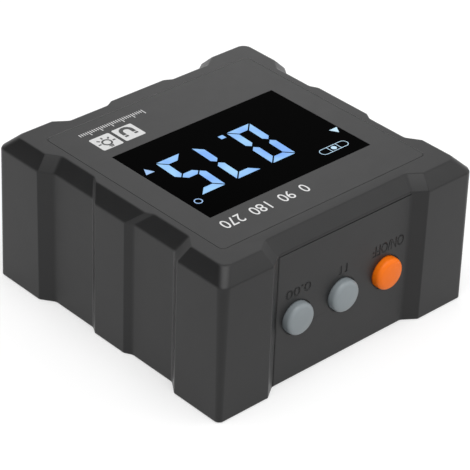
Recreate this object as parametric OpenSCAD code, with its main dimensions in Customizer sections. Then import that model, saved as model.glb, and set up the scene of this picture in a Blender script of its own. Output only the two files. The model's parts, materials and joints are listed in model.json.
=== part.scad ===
// Digital angle gauge with magnets behind its corner pads, lying on its back.
// +Z points out of the display, +Y to the side with the buttons, +X to the reader's right.
// Sizes are in millimetres, and the origin is the middle of the back face.

/* [Body] */
// Width across the corner pads, the same both ways
side = 60; // [54:0.5:72]
// Height from the back face to the display face
height = 29.5; // [29:0.5:36]
// Thickness of the side walls behind the recesses
wall = 2; // [1.6:0.1:2.4]
// Thickness of the wall round the display
front_wall = 2.2; // [2:0.1:3]
// Chamfer round the display face, the same in and down
chamfer = 2.4; // [1.4:0.1:3]
// Radius of the upright corners at the display face
corner_r = 1.7; // [0.6:0.1:2]
// Radius of the upright corners at the back face
corner_back_r = 1; // [0.6:0.1:2]
// Radius where a slope of the side relief leaves a pad or a block
relief_r = 0.5; // [0.2:0.1:0.8]
// Radius where such a slope runs out into a recess
foot_r = 1.5; // [0.5:0.1:1.6]
// Softening of the chamfer's two edges
edge_soft = 0.25; // [0.1:0.05:0.5]
// Bevel round the back edge
back_bevel = 0.2; // [0.1:0.05:0.6]
// Radius of the inside corners
inner_r = 2; // [1:0.5:4]

/* [Side relief] */
// Length of a corner pad along its side
pad_len = 11.4; // [9:0.1:13]
// How far the recesses lie behind the pads
recess_depth = 1.85; // [1.2:0.05:2.2]
// Length of the slope from a pad to a recess
pad_slope = 2.66; // [1.6:0.02:3.4]
// Length of the middle block's face
block_len = 7.8; // [5:0.1:10]
// How far the middle block's face lies behind the pads
block_setback = 1; // [0.6:0.05:1.1]
// Length of the slope beside the middle block
block_slope = 1.5; // [0.8:0.1:2]
// How far each end of the middle block flares out across the chamfer
block_flare = 2.6; // [0:0.1:3]
// Width of the fine mould line above and beside the button recess
mould_line_w = 0.2; // [0.1:0.05:0.4]
// Depth of that line
mould_line_d = 0.15; // [0.05:0.05:0.3]

/* [Display face] */
// Width of the rim at the left and right of the inset face panel
rim_side = 5.8; // [5.4:0.1:7]
// Width of the rim above and below the face panel
rim_end = 6.7; // [5.4:0.1:8]
// Corner radius of the face panel
panel_r = 1; // [0.5:0.1:3]
// Thickness of the face panel
panel_t = 0.8; // [0.5:0.1:1]
// How far the panel lies below the rim round it
panel_sunk = 0.05; // [0:0.05:0.2]
// Width of the panel at the left and right of the display window
window_side = 5; // [4.2:0.1:7]
// Width of the panel above the window
window_above = 8.6; // [8:0.1:11]
// Width of the panel below the window
window_below = 12.2; // [11.6:0.1:14]
// Width of the window pane's lip under the panel
pane_lip = 1.2; // [0.8:0.1:2]
// Thickness of that lip
pane_lip_t = 0.8; // [0.5:0.1:0.9]

/* [Buttons] */
// Distance between neighbouring buttons
button_pitch = 10.85; // [10:0.05:12]
// Height of the button axes above the back face
button_z = 12.7; // [12.5:0.1:13.5]
// Diameter of a button cap
cap_d = 6.2; // [5:0.1:7]
// How far a cap stands out of the recess
cap_proud = 1.7; // [0.8:0.1:1.8]
// Radius of a cap's front edge
cap_edge = 0.9; // [0.2:0.1:1]
// Height of the slight dome on a cap
cap_dome = 0.15; // [0.05:0.05:0.3]
// How far the collar behind the wall stands out round a cap
collar_rim = 1; // [0.6:0.1:1.3]
// Thickness of that collar
collar_t = 1; // [0.6:0.1:1.2]
// How far a button travels
button_travel = 0.5; // [0.3:0.05:0.6]

/* [Switches and board] */
// Width of a switch body
switch_w = 6; // [5:0.1:7]
// Depth of a switch body behind the button
switch_l = 3.5; // [3:0.1:4]
// Height of a switch body below the board
switch_h = 6.2; // [5.8:0.1:7]
// Distance of the button axes below the board
switch_drop = 3.5; // [3:0.1:4]
// Diameter of a switch stem
stem_d = 3; // [2:0.1:3.5]
// How far a stem stands out of its switch
stem_out = 1.5; // [1:0.1:2]
// How deep a stem reaches into its switch
stem_in = 1; // [0.6:0.1:1.6]
// Thickness of the main board
board_t = 1.6; // [1:0.2:1.6]
// Corner radius of the board
board_r = 1; // [0.5:0.1:2]
// Width of the processor
chip_w = 7; // [5:0.5:9]
// Thickness of the processor
chip_t = 1.1; // [0.8:0.1:1.2]
// Width of the tilt sensor
sensor_w = 3; // [2:0.5:4]
// Thickness of the tilt sensor
sensor_t = 1; // [0.7:0.1:1.2]
// Distance of the processor and the sensor from the middle of the board
chip_x = 8; // [6:0.5:12]

/* [Display module] */
// How far the display cell reaches past the window all round
cell_rim = 1.8; // [1.6:0.1:2.2]
// Thickness of the display cell
glass_t = 2.2; // [1.8:0.1:2.6]
// Thickness of the light guide
guide_t = 3; // [2:0.1:3.4]
// Thickness of the display frame's walls
frame_wall = 1.2; // [1:0.1:1.5]
// Thickness of the display frame's floor
frame_floor = 1; // [0.8:0.1:1.4]
// Thickness of the frame's web between the light guide and a contact strip
frame_web = 0.5; // [0.4:0.1:0.8]
// Thickness of a contact strip
strip_t = 2; // [1.6:0.1:2.2]
// Length by which a contact strip stops short of the display cell at each end
strip_short = 2; // [1:0.5:4]
// Length of the lamp strip beside the light guide
lamp_len = 14; // [10:1:18]
// Depth of the lamp strip
lamp_t = 1.1; // [0.8:0.1:1.2]
// Number of lamps on the strip
lamp_count = 3; // [2:1:4]

/* [Batteries] */
// Diameter of a battery cell
battery_d = 10.5; // [9.5:0.1:10.7]
// Diameter of a cell's button
nub_d = 3.8; // [3:0.1:5]
// Height of a cell's button
nub_h = 0.9; // [0.6:0.1:1.4]
// Length of a fitted battery spring
spring_l = 3; // [2.5:0.1:3.2]
// Wire diameter of a battery spring
spring_wire = 0.6; // [0.4:0.1:0.7]
// Outer diameter of a spring's wide end
spring_d = 7.6; // [6:0.1:8.5]
// Outer diameter of a spring's narrow end
spring_tip_d = 5; // [4:0.1:6]
// Turns of a spring
spring_turns = 3; // [2:0.5:4]
// Width and height of a contact plate
contact_w = 8.8; // [7:0.1:9.5]
// Thickness of a contact plate
contact_t = 0.4; // [0.3:0.05:0.5]
// Width of a contact plate's tail
tail_w = 2.5; // [1.5:0.1:4]
// Thickness of the battery well's walls
well_wall = 1; // [0.8:0.1:1.1]
// Gap between the ends of the battery well and the housing
well_end = 0.9; // [0.7:0.1:3]

/* [Back] */
// Thickness of the back cover
cover_t = 2; // [1.8:0.1:2.4]
// How far the back cover lies inside the rim
cover_sunk = 0.2; // [0:0.05:0.3]
// Width of the ledge that the back cover sits on
ledge = 0.8; // [0.6:0.1:1]
// Height of the lip inside the housing
lip_h = 1.5; // [1:0.1:2]
// Thickness of that lip
lip_t = 1; // [0.8:0.1:1.4]
// Thickness of the battery door
door_t = 1.4; // [1.2:0.1:1.5]
// How far the battery door lies inside the rim
door_sunk = 0.3; // [0.2:0.05:0.4]
// Width of the ledge round the battery door
door_ledge = 0.9; // [0.7:0.1:1]
// Diameter of the door's hinge pins
hinge_d = 1; // [0.8:0.1:1.1]
// Length of the door's hinge pins
hinge_l = 1; // [0.7:0.1:1.2]
// Width of the door's snap finger
finger_w = 10; // [8:0.5:14]
// Length of the slits beside the snap finger
finger_l = 6; // [4:0.5:8]
// Width of those slits
finger_slit = 0.6; // [0.4:0.1:0.8]
// Radius of the bead on the snap finger
bead_r = 0.5; // [0.3:0.1:0.6]
// Width of the finger scoop beside the door
scoop_w = 12; // [8:0.5:14]
// Depth of the finger scoop
scoop_t = 1; // [0.6:0.1:1.2]
// Number of grip grooves on the door
grip_count = 4; // [3:1:5]
// Distance between grip grooves
grip_pitch = 1.4; // [1.2:0.1:1.6]
// Width of a grip groove
grip_w = 0.7; // [0.4:0.1:0.8]
// Depth of a grip groove
grip_depth = 0.4; // [0.2:0.1:0.6]
// Height of the rib on the door between the cells
rib_h = 1.5; // [0.8:0.1:1.8]
// Thickness of that rib
rib_t = 1; // [0.6:0.1:1.2]
// Length of that rib
rib_l = 30; // [20:1:36]

/* [Magnets] */
// Diameter of a magnet
magnet_d = 8; // [6:0.1:8.2]
// Thickness of a magnet
magnet_t = 2; // [1.5:0.1:2.2]
// Height of the magnets above the back face
magnet_z = 12; // [9:0.1:14]
// Distance of a magnet's middle from the pad's outer corner
magnet_inset = 8.4; // [8.2:0.1:9]

/* [Screws] */
// Diameter of a case screw's boss
boss_d = 5.4; // [5:0.1:5.6]
// Shank diameter of a case screw
case_screw_d = 2.5; // [2:0.1:2.6]
// Shank length of a case screw
case_screw_l = 10; // [7:0.5:12]
// Head diameter of a case screw
case_head_d = 4.2; // [3.8:0.1:4.4]
// Head height of a case screw
case_head_h = 1.7; // [1.2:0.1:1.8]
// Width of the cross recess in a screw head
cross_w = 0.6; // [0.4:0.1:0.7]
// Depth of that cross recess
cross_depth = 0.8; // [0.5:0.1:1]
// How far the bosses stand back from the side walls
boss_inset = 5.35; // [5.2:0.05:5.5]
// How far a socket stands in from the back cover
socket_h = 1.4; // [1:0.1:1.8]
// Wall round the screw head in that socket
socket_wall = 1.2; // [1:0.1:1.4]
// Thickness of the socket's floor under a screw head
socket_floor = 1.2; // [1:0.1:1.4]
// Diameter of a board pillar
pillar_d = 4.2; // [3.6:0.1:4.4]
// Shank diameter of a board screw
board_screw_d = 1.8; // [1.6:0.1:2]
// Shank length of a board screw
board_screw_l = 6; // [5:0.5:7]
// Head diameter of a board screw
board_head_d = 3.4; // [3:0.1:3.6]
// Head height of a board screw
board_head_h = 1.2; // [1:0.1:1.3]
// Distance of the far pillars from the middle
pillar_x = 12; // [10:0.5:14]

/* [Clearances] */
// Gap round the face panel
panel_gap = 0.15; // [0.1:0.05:0.25]
// Gap round the window pane and the display parts
seat_gap = 0.1; // [0.05:0.05:0.15]
// Running gap round a button cap and a stem
run_gap = 0.1; // [0.05:0.01:0.15]
// Gap between a collar and the wall at rest
rest_gap = 0.05; // [0.02:0.01:0.1]
// Gap round the back cover
cover_gap = 0.1; // [0.05:0.05:0.2]
// Gap round the battery door
door_gap = 0.2; // [0.15:0.05:0.3]
// Running gap round the hinge pins
hinge_gap = 0.05; // [0.03:0.01:0.1]
// Gap round a battery cell
battery_gap = 0.3; // [0.2:0.05:0.4]
// Gap at the end of a battery cell and of a spring
contact_gap = 0.05; // [0.02:0.01:0.1]
// Gap round a magnet
magnet_gap = 0.1; // [0.05:0.05:0.2]
// Gap round a screw shank and between frame, pillars and bosses
screw_gap = 0.05; // [0.03:0.01:0.1]
// Gap between the board and what passes it
board_gap = 0.3; // [0.2:0.05:0.5]

/* [Hidden] */
$fn = 64;
// Length by which a cut runs past the face that it opens
over = 0.5;
// Length by which a boss runs into the wall that carries it
rooted = 0.3;
// Segments of an upright corner and of a corner of the side relief
corner_steps = 6;
relief_steps = 3;
// Share of the softening that lies on the chamfer's own slope
soft_share = 0.7;
// Sides of a spring's wire and rings along one of its turns
wire_sides = 8;
turn_rings = 16;
// Share of the lamp strip's depth and pitch that a lamp takes
lamp_lens = 0.6;
// Segments of a cap's rounded edge and of its dome, and the share of the dome that is flat
edge_steps = 6;
dome_steps = 3;
dome_flat = 0.25;
button_x = [-button_pitch, 0, button_pitch];

// Inner half width, inner height and the planes of the back
half = side/2;
cav = half - recess_depth - wall;
front_in = height - front_wall;
cover_in = cover_sunk + cover_t;
socket_in = cover_in + socket_h;

// Slope of the pads, which sets how far their ends move in across the chamfer
pad_angle = atan(recess_depth/pad_slope);
recess_half = half - pad_len - pad_slope;

// Face panel and window pane
panel_w = side - 2*rim_side;
panel_h = side - 2*rim_end;
window_w = panel_w - 2*window_side;
window_h = panel_h - window_above - window_below;
window_y = (window_below - window_above)/2;
panel_floor = height - panel_sunk - panel_t;
pane_floor = panel_floor - pane_lip_t;
pane_w = window_w + 2*pane_lip;
pane_h = window_h + 2*pane_lip;

// Board, hung below the display from the height of the buttons
board_low = button_z + switch_drop;
board_top = board_low + board_t;
board_half = cav - board_gap;
collar_back = cav - rest_gap - collar_t;
switch_face = collar_back - stem_out;
switch_back = switch_face - switch_l;
board_front = switch_face - rest_gap - button_travel;

// Display cell, light guide and frame
cell_w = window_w + 2*cell_rim;
cell_h = window_h + 2*cell_rim;
cell_top = front_in - seat_gap;
cell_low = cell_top - glass_t;
strip_y = cell_h/2 - strip_t/2 - seat_gap;
guide_w = window_w + cell_rim;
guide_h = 2*(strip_y - strip_t/2 - 2*seat_gap - frame_web);
guide_low = cell_low - seat_gap - guide_t;
floor_top = guide_low - seat_gap;
floor_low = floor_top - frame_floor;
frame_w = cell_w + 2*seat_gap + 2*frame_wall;
frame_h = cell_h + 2*seat_gap + 2*frame_wall;
frame_edge = window_y + frame_h/2;

// Battery well across the housing, the cells that fill its length and the door under it
battery_z = door_sunk + door_t + battery_gap + battery_d/2;
battery_y = battery_d/2 + battery_gap;
well_l = 2*(cav - well_end - well_wall);
battery_l = well_l - spring_l - 2*contact_t - 4*contact_gap;
well_w = 2*battery_y + battery_d + 2*battery_gap;
well_roof = battery_z + battery_d/2 + battery_gap;
well_top = well_roof + well_wall;
contact_face = well_l/2 - contact_t;
door_hole_l = well_l + 2*door_ledge;
door_hole_w = well_w + 2*door_ledge;
door_l = door_hole_l - 2*door_gap;
door_w = door_hole_w - 2*door_gap;
hinge_y = -door_w/2 + door_t/2;
hinge_z = door_sunk + door_t/2;

// Screws
boss_x = cav - boss_inset;
boss_y = max(cav - boss_inset, frame_edge + board_gap + boss_d/2);
head_seat = socket_in - socket_floor;
socket_d = case_head_d + 4*screw_gap + 2*socket_wall;
pillar_y = max(boss_y - (boss_d - pillar_d)/2, frame_edge + board_gap + pillar_d/2);
boss_places = [for (x = [-1, 1], y = [-1, 1]) [x*boss_x, y*boss_y]];
pillar_places = concat(
    [for (x = [-1, 1]) [x*button_pitch/2, pillar_y]],
    [for (x = [-1, 1]) [x*pillar_x, -pillar_y]]);

// Plan outline of the body

function unit(v) = v/norm(v);

// Corners of one side seen along it, at an inset and a share of the middle block's flare
function side_corners(inset, flare, blocked) =
    let (
        pad = half - inset,
        recess = pad - recess_depth,
        block = pad - block_setback,
        pad_end = half - pad_len + inset*tan(pad_angle/2),
        recess_end = pad_end - pad_slope,
        block_end = block_len/2 + block_flare*flare,
        block_foot = block_end + block_slope,
        middle = [[recess, -block_foot], [block, -block_end], [block, block_end], [recess, block_foot]]
    )
    concat(
        [[pad, -pad_end], [recess, -recess_end]],
        blocked ? middle : [],
        [[recess, recess_end], [pad, pad_end], [pad, pad]]);

// Which of the sides right, top, left and base have a middle block
BLOCKED = [true, false, true, true];

function turned(p, quarter) =
    [p.x*cos(90*quarter) - p.y*sin(90*quarter), p.x*sin(90*quarter) + p.y*cos(90*quarter)];

function body_corners(inset, flare) =
    [for (k = [0:3]) for (p = side_corners(inset, flare, BLOCKED[k])) turned(p, k)];

// Arc of radius r in the corner at p, between the corners before and after it
function corner_arc(before, p, after, r, steps) =
    let (
        a = unit(before - p),
        b = unit(after - p),
        half_angle = acos(a*b)/2,
        centre = p + unit(a + b)*r/sin(half_angle),
        from = p + a*r/tan(half_angle) - centre,
        to = p + b*r/tan(half_angle) - centre,
        start = atan2(from.y, from.x),
        turn = atan2(cross(from, to), from*to)
    )
    [for (i = [0:steps]) centre + r*[cos(start + turn*i/steps), sin(start + turn*i/steps)]];

// The four outer corners are the ones as far out along X as along Y
function is_outer(p) = abs(abs(p.x) - abs(p.y)) < 0.001;

// Corner p with its own kind of round: r for the upright corners, less at the edges of the relief
function rounded(before, p, after, r) =
    is_outer(p) ? corner_arc(before, p, after, r, corner_steps) :
    corner_arc(before, p, after, cross(p - before, after - p) > 0 ? relief_r : foot_r, relief_steps);

function body_ring(inset, flare, r) =
    let (c = body_corners(inset, flare), n = len(c))
    [for (i = [0:n - 1]) for (q = rounded(c[(i + n - 1) % n], c[i], c[(i + 1) % n], r)) q];

// Solid through rings of equal length, given as [height, ring] from the lowest up.
// Each end is a fan of triangles round a middle point, which sees the whole ring.
module loft(levels) {
    n = len(levels[0][1]);
    top = len(levels) - 1;
    rings = [for (level = levels) for (p = level[1]) [p.x, p.y, level[0]]];
    middles = [for (k = [0, top]) [0, 0, levels[k][0]]];
    walls = [for (k = [0:top - 1]) for (i = [0:n - 1])
        [k*n + i, (k + 1)*n + i, (k + 1)*n + (i + 1) % n, k*n + (i + 1) % n]];
    low_end = [for (i = [0:n - 1]) [len(rings), i, (i + 1) % n]];
    high_end = [for (i = [0:n - 1]) [len(rings) + 1, top*n + (i + 1) % n, top*n + i]];
    polyhedron(concat(rings, middles), concat(low_end, walls, high_end));
}

// Outer form: back bevel, stepped walls and the chamfer with both its edges softened
module body_form() {
    soft = soft_share*edge_soft;
    loft([
        [0, body_ring(back_bevel, 0, corner_back_r)],
        [back_bevel, body_ring(0, 0, corner_back_r)],
        [height - chamfer - edge_soft, body_ring(0, 0, corner_r)],
        [height - chamfer + soft, body_ring(soft, soft/chamfer, corner_r)],
        [height - soft, body_ring(chamfer - soft, 1 - soft/chamfer, corner_r)],
        [height, body_ring(chamfer + edge_soft, 1, corner_r)]
    ]);
}

// Shapes that several pieces share

// Rectangle with round corners, centred
module round_rect(w, h, r) {
    square([w - 2*r, h], center = true);
    square([w, h - 2*r], center = true);
    for (x = [-1, 1], y = [-1, 1])
        translate([x*(w/2 - r), y*(h/2 - r)])
            circle(r);
}

// Plate with round corners that stands on its own plane
module plate(w, h, t, r) {
    linear_extrude(t)
        round_rect(w, h, r);
}

// Box that is centred in X and Y and stands on its own plane
module block(w, h, t) {
    translate([-w/2, -h/2, 0])
        cube([w, h, t]);
}

// Cylinder between two heights
module post(d, low, high) {
    translate([0, 0, low])
        cylinder(d = d, h = high - low);
}

// Pan head screw with a cross recess, its head at the lower end and its seat at z = 0
module screw(shank_d, shank_l, head_d, head_h) {
    difference() {
        union() {
            post(shank_d, -rooted, shank_l - shank_d/2);
            translate([0, 0, shank_l - shank_d/2])
                cylinder(d1 = shank_d, d2 = shank_d/3, h = shank_d/2);
            post(head_d, -head_h + rooted, 0);
            translate([0, 0, -head_h])
                cylinder(d1 = head_d - 2*rooted, d2 = head_d, h = rooted);
        }
        for (a = [0, 90])
            rotate([0, 0, a])
                translate([0, 0, -head_h - over])
                    block(head_d/2, cross_w, cross_depth + over);
    }
}

// Housing

module cavity() {
    translate([0, 0, -over])
        plate(2*cav, 2*cav, front_in + over, inner_r);
    translate([0, 0, -over])
        plate(2*(cav + ledge), 2*(cav + ledge), cover_in + over, inner_r + ledge);
}

module face_cuts() {
    translate([0, 0, panel_floor])
        plate(panel_w + 2*panel_gap, panel_h + 2*panel_gap, panel_t + panel_sunk + over, panel_r + panel_gap);
    translate([0, window_y, pane_floor])
        block(pane_w + 2*seat_gap, pane_h + 2*seat_gap, height);
    translate([0, window_y, front_in - over])
        block(window_w, window_h, height);
}

module button_bores() {
    for (x = button_x)
        translate([x, cav - over, button_z])
            rotate([-90, 0, 0])
                cylinder(d = cap_d + 2*run_gap, h = wall + recess_depth + 2*over);
}

module magnet_pockets() {
    for (k = [0:3], s = [0:1])
        magnet_place(k, s)
            translate([0, 0, -over])
                cylinder(d = magnet_d + 2*magnet_gap, h = magnet_t + magnet_gap + over);
}

// Fine line that the mould's side core leaves along the top and the right end of the button recess
module mould_line() {
    top = height - chamfer - edge_soft;
    translate([0, half - recess_depth - mould_line_d, 0]) {
        translate([-recess_half, 0, top - mould_line_w])
            cube([2*recess_half, recess_depth, mould_line_w]);
        translate([recess_half - mould_line_w, 0, -over])
            cube([mould_line_w, recess_depth, top + over]);
    }
}

module housing() {
    color("#474747")
        difference() {
            union() {
                difference() {
                    body_form();
                    cavity();
                }
                for (p = boss_places)
                    translate(p)
                        post(boss_d, socket_in, front_in + rooted);
                for (p = pillar_places)
                    translate(p)
                        post(pillar_d, board_top, front_in + rooted);
            }
            face_cuts();
            button_bores();
            magnet_pockets();
            mould_line();
            for (p = boss_places)
                translate(p)
                    post(case_screw_d + 2*screw_gap, socket_in - over, head_seat + case_screw_l + over);
            for (p = pillar_places)
                translate(p)
                    post(board_screw_d + 2*screw_gap, board_top - over, board_low + board_screw_l + over);
        }
}

// Face and display

module face_panel() {
    color("#505050")
        translate([0, 0, panel_floor])
            difference() {
                plate(panel_w, panel_h, panel_t, panel_r);
                translate([0, window_y, -over])
                    block(window_w, window_h, panel_t + 2*over);
            }
}

// Clear pane with a lip that the panel holds down
module display_window() {
    color("#08080a")
        translate([0, window_y, pane_floor]) {
            block(pane_w, pane_h, pane_lip_t);
            block(window_w - 2*seat_gap, window_h - 2*seat_gap, pane_lip_t + panel_t);
        }
}

module display_cell() {
    color("#101418")
        translate([0, window_y, cell_low])
            block(cell_w, cell_h, glass_t);
}

module light_guide() {
    color("#e8eef4")
        translate([0, window_y, guide_low])
            block(guide_w, guide_h, guide_t);
}

// Strip with its row of lamps, against the light guide's left edge
module backlight_lamps() {
    lens = lamp_t*lamp_lens;
    pitch = lamp_len/lamp_count;
    color("#f4f2dc")
        translate([-guide_w/2 - seat_gap - lamp_t, window_y - lamp_len/2, guide_low]) {
            cube([lamp_t - lens, lamp_len, guide_t]);
            for (i = [0:lamp_count - 1])
                translate([0, (i + (1 - lamp_lens)/2)*pitch, (1 - lamp_lens)/2*guide_t])
                    cube([lamp_t, lamp_lens*pitch, lamp_lens*guide_t]);
        }
}

module display_frame() {
    color("#d9d9d6")
        translate([0, window_y, 0])
            difference() {
                translate([0, 0, board_top])
                    block(frame_w, frame_h, cell_top - board_top);
                translate([0, 0, cell_low])
                    block(cell_w + 2*seat_gap, cell_h + 2*seat_gap, glass_t + over);
                translate([0, 0, floor_top])
                    block(guide_w + 2*seat_gap, guide_h + 2*seat_gap, cell_low);
                translate([-guide_w/2 - 2*seat_gap - lamp_t, -lamp_len/2 - seat_gap, floor_top])
                    cube([2*lamp_t, lamp_len + 2*seat_gap, cell_low]);
                translate([0, 0, board_top - over])
                    block(guide_w, guide_h - 2*frame_wall, floor_low - board_top + over);
                for (s = [-1, 1])
                    translate([0, s*strip_y, board_top - over])
                        block(strip_l() + 2*seat_gap, strip_t + 2*seat_gap, height);
            }
}

function strip_l() = cell_w - 2*strip_short;

// Elastic strip that joins the display cell's edge to the board
module contact_strip(s) {
    color("#c9a2a6")
        translate([0, window_y + s*strip_y, board_top])
            block(strip_l(), strip_t, cell_low - board_top);
}

// Board, switches and buttons

module main_board() {
    color("#1f6b3d")
        difference() {
            translate([0, (board_front - board_half)/2, board_low])
                plate(2*board_half, board_front + board_half, board_t, board_r);
            for (p = boss_places)
                translate(p)
                    post(boss_d + 2*board_gap, board_low - over, board_top + over);
            for (p = pillar_places)
                translate(p)
                    post(board_screw_d + 4*screw_gap, board_low - over, board_top + over);
        }
}

module processor_chip() {
    color("#1b1b1d")
        translate([-chip_x, 0, board_low - chip_t])
            block(chip_w, chip_w, chip_t);
}

module tilt_sensor() {
    color("#2a2a2e")
        translate([chip_x, 0, board_low - sensor_t])
            block(sensor_w, sensor_w, sensor_t);
}

// Right angled switch under the board's edge, open in front for its stem
module key_switch(x) {
    color("#26262a")
        difference() {
            translate([x - switch_w/2, switch_back, board_low - switch_h])
                cube([switch_w, switch_l, switch_h]);
            translate([x, switch_face - stem_in - button_travel - run_gap, button_z])
                rotate([-90, 0, 0])
                    cylinder(d = stem_d + 2*run_gap, h = switch_l);
        }
}

module switch_stem(x) {
    color("#d8d4c8")
        translate([x, switch_face - stem_in, button_z])
            rotate([-90, 0, 0])
                cylinder(d = stem_d, h = stem_in + stem_out);
}

// Cap with a collar behind the wall, a rounded front edge and a slight dome
module button_cap(x, shade) {
    front = wall + cap_proud;
    shoulder = front - cap_dome - cap_edge;
    core = cap_d/2 - cap_edge;
    edge = [for (i = [0:edge_steps])
        let (a = 90*i/edge_steps)
        [core + cap_edge*cos(a), shoulder + cap_edge*sin(a)]];
    dome = [for (i = [dome_steps - 1:-1:0])
        let (k = i/dome_steps)
        [core*(dome_flat + (1 - dome_flat)*k), front - cap_dome*k*k]];
    back = -rest_gap - collar_t;
    collar = cap_d/2 + collar_rim;
    profile = concat(
        [[0, back], [collar, back], [collar, -rest_gap], [cap_d/2, -rest_gap]],
        edge,
        dome,
        [[0, front]]);
    color(shade)
        translate([x, cav, button_z])
            rotate([-90, 0, 0])
                rotate_extrude()
                    polygon(profile);
}

// Back, door and batteries

module back_cover() {
    width = 2*(cav + ledge - cover_gap);
    lip = 2*(cav - cover_gap);
    color("#3d3d3f")
        difference() {
            union() {
                translate([0, 0, cover_sunk])
                    plate(width, width, cover_t, inner_r + ledge - cover_gap);
                translate([0, 0, cover_in - rooted])
                    difference() {
                        plate(lip, lip, lip_h + rooted, inner_r - cover_gap);
                        translate([0, 0, -over])
                            plate(lip - 2*lip_t, lip - 2*lip_t, lip_h + 2*over, inner_r - cover_gap);
                    }
                translate([0, 0, cover_sunk])
                    block(well_l + 2*well_wall, well_w + 2*well_wall, well_top - cover_sunk);
                for (p = boss_places)
                    translate(p)
                        post(socket_d, cover_sunk, socket_in);
            }
            translate([0, 0, -over])
                block(well_l, well_w, well_roof + over);
            door_opening();
            tail_slots();
            for (p = boss_places)
                translate(p) {
                    post(case_head_d + 4*screw_gap, -over, head_seat);
                    post(case_screw_d + 4*screw_gap, -over, socket_in + over);
                }
        }
}

// Rebate for the door with the bores for its hinge pins and a scoop for a finger nail
module door_opening() {
    translate([0, 0, -over])
        block(door_hole_l, door_hole_w, door_sunk + door_t + seat_gap + over);
    translate([-door_hole_l/2 - hinge_l, hinge_y, hinge_z])
        rotate([0, 90, 0])
            cylinder(d = hinge_d + 2*hinge_gap, h = door_hole_l + 2*hinge_l);
    intersection() {
        translate([0, door_hole_w/2 - scoop_w/4, -over])
            cylinder(d = scoop_w, h = cover_sunk + scoop_t + over);
        translate([-scoop_w/2, 0, -over])
            cube([scoop_w, door_hole_w, cover_sunk + scoop_t + over]);
    }
}

module tail_slots() {
    for (s = [-1, 1])
        translate([-well_l/2, s*battery_y - tail_w/2 - seat_gap, well_roof - over])
            cube([contact_t + seat_gap, tail_w + 2*seat_gap, well_wall + 2*over]);
}

module battery_door() {
    color("#3a3a3c")
        difference() {
            union() {
                translate([-door_l/2, hinge_y, door_sunk])
                    cube([door_l, door_w/2 - hinge_y, door_t]);
                translate([-door_l/2, hinge_y, hinge_z])
                    rotate([0, 90, 0])
                        cylinder(d = door_t, h = door_l);
                translate([-door_l/2 - hinge_l, hinge_y, hinge_z])
                    rotate([0, 90, 0])
                        cylinder(d = hinge_d, h = door_l + 2*hinge_l);
                translate([-rib_l/2, -rib_t/2, door_sunk + door_t - rooted])
                    cube([rib_l, rib_t, rib_h + rooted]);
                translate([-finger_w/4, door_w/2 - bead_r + door_gap/2, hinge_z])
                    rotate([0, 90, 0])
                        cylinder(r = bead_r, h = finger_w/2);
            }
            for (x = [-finger_w/2 - finger_slit, finger_w/2])
                translate([x, door_w/2 - finger_l, door_sunk - over])
                    cube([finger_slit, finger_l + over, door_t + 2*over]);
            for (i = [0:grip_count - 1])
                translate([-finger_w/2 + finger_slit, door_w/2 - finger_l + i*grip_pitch, door_sunk - over])
                    cube([finger_w - 2*finger_slit, grip_w, grip_depth + over]);
        }
}

// Cell along X with its button at the end given by s
module battery(s, y) {
    low = -well_l/2 + contact_t + contact_gap;
    body_l = battery_l - nub_h;
    color("#b8bcc0")
        translate([0, y, battery_z])
            rotate([0, -90*s, 0])
                translate([0, 0, low]) {
                    cylinder(d = nub_d, h = nub_h + rooted);
                    translate([0, 0, nub_h])
                        cylinder(d = battery_d, h = body_l);
                }
}

// Cone of wire at the end of the well given by s, wide at the contact and narrow at the cell
module battery_spring(s, y) {
    rings = spring_turns*turn_rings;
    run = spring_l - spring_wire - contact_gap;
    wide = (spring_d - spring_wire)/2;
    narrow = (spring_tip_d - spring_wire)/2;
    function centre(i) =
        let (k = i/rings, r = wide + (narrow - wide)*k, a = 360*spring_turns*k)
        [r*cos(a), r*sin(a), run*k];
    function section(i) =
        let (a = 360*spring_turns*i/rings, out = [cos(a), sin(a), 0])
        [for (j = [0:wire_sides - 1])
            centre(i) + spring_wire/2*(cos(360*j/wire_sides)*out + [0, 0, sin(360*j/wire_sides)])];
    points = [for (i = [0:rings]) for (p = section(i)) p];
    skin = [for (i = [0:rings - 1]) for (j = [0:wire_sides - 1])
        let (n = (j + 1) % wire_sides, a = i*wire_sides, b = a + wire_sides)
        for (f = [[a + j, b + j, b + n], [a + j, b + n, a + n]]) f];
    ends = [
        [for (j = [0:wire_sides - 1]) j],
        [for (j = [wire_sides - 1:-1:0]) rings*wire_sides + j]
    ];
    color("#c7c9cc")
        translate([s*(contact_face - spring_wire/2 - contact_gap/2), y, battery_z])
            rotate([0, -90*s, 0])
                polyhedron(points, concat(skin, ends));
}

// Contact plate at the left end of the well, with a tail up to the board
module tail_contact(y) {
    color("#cfc9b8")
        translate([-well_l/2, y, 0]) {
            translate([0, -contact_w/2, battery_z - contact_w/2])
                cube([contact_t, contact_w, contact_w]);
            translate([0, -tail_w/2, battery_z])
                cube([contact_t, tail_w, board_low - battery_z]);
        }
}

// One plate at the right end that joins the two cells
module link_contact() {
    color("#cfc9b8")
        translate([contact_face, -battery_y - contact_w/2, battery_z - contact_w/2])
            cube([contact_t, 2*battery_y + contact_w, contact_w]);
}

// Magnets and screws

// Frame of a magnet: sides right, top, left and base are k = 0 to 3, with two places s on each
module magnet_place(k, s) {
    rotate([0, 0, 90*k])
        translate([cav, (2*s - 1)*(half - magnet_inset), magnet_z])
            rotate([0, 90, 0])
                children();
}

module magnet(k, s) {
    color("#a9abb0")
        magnet_place(k, s)
            cylinder(d = magnet_d, h = magnet_t);
}

module case_screws() {
    color("#8d9094")
        for (p = boss_places)
            translate([p.x, p.y, head_seat])
                screw(case_screw_d, case_screw_l, case_head_d, case_head_h);
}

module board_screws() {
    color("#8d9094")
        for (p = pillar_places)
            translate([p.x, p.y, board_low])
                screw(board_screw_d, board_screw_l, board_head_d, board_head_h);
}

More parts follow.
